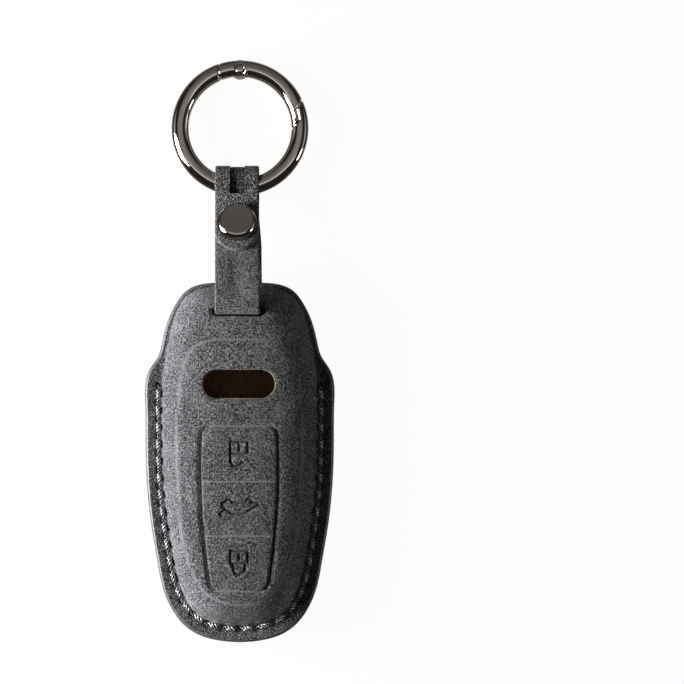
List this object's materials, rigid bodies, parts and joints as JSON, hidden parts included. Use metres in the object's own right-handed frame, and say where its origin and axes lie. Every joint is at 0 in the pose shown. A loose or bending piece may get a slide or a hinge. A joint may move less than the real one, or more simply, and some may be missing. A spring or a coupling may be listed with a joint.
{
  "type": "key fob cover",
  "caption": "Moulded suede-leather key fob cover with stitched flange, press pads, badge window, leather strap, screw stud and a hinged spring-gate ring.",
  "frame": {"origin": "centre of the footprint, on the surface that the cover's back lies on", "axes": "+Z out of the front face, +Y from the cover towards the ring, +X to the right"},
  "size_m": [0.0484, 0.1487, 0.0211],
  "materials": {
    "suede": "grey napped suede",
    "lining": "smooth brown lining",
    "thread": "twisted waxed thread",
    "gunmetal": "polished black nickel",
    "steel": "bare spring steel"
  },
  "bodies": {
    "cover": {"front_shell": "suede", "front_lining": "lining", "rear_shell": "suede", "rear_lining": "lining", "front_thread": "thread", "rear_thread": "thread", "strap": "suede", "screw_post": "gunmetal", "screw": "gunmetal"},
    "unlock_pad": {"unlock_pad": "suede"},
    "boot_pad": {"boot_pad": "suede"},
    "lock_pad": {"lock_pad": "suede"},
    "ring": {"ring_body": "gunmetal", "gate_pin": "gunmetal"},
    "gate": {"ring_gate": "gunmetal", "gate_spring": "steel"},
    "plunger": {"gate_plunger": "steel"}
  },
  "joints": [
    {"name": "unlock_press", "type": "slide", "parent": "cover", "child": "unlock_pad", "axis": [0, 0, -1], "range_m": [0, 0.0007], "stiffness_N_per_m": 2000},
    {"name": "boot_press", "type": "slide", "parent": "cover", "child": "boot_pad", "axis": [0, 0, -1], "range_m": [0, 0.0007], "stiffness_N_per_m": 2000},
    {"name": "lock_press", "type": "slide", "parent": "cover", "child": "lock_pad", "axis": [0, 0, -1], "range_m": [0, 0.0007], "stiffness_N_per_m": 2000},
    {"name": "ring_swing", "type": "hinge", "parent": "cover", "child": "ring", "pos_m": [0, 0.04167, 0.0056], "axis": [1, 0, 0], "range_deg": [-90, 120]},
    {"name": "gate_swing", "type": "hinge", "parent": "ring", "child": "gate", "pos_m": [0, 0.07181, 0.00228], "axis": [0, -0.1095, -0.994], "range_deg": [0, 24], "stiffness_Nm_per_rad": 0.04, "springref_deg": -17.19},
    {"name": "plunger_slide", "type": "slide", "parent": "gate", "child": "plunger", "axis": [0.9518, -0.3047, 0.0336], "range_m": [0, 0.00055], "deforming": ["gate_spring"]}
  ],
  "couplings": [
    {"joint": "plunger_slide", "follows": "gate_swing", "m_per_rad": 0.0012}
  ]
}
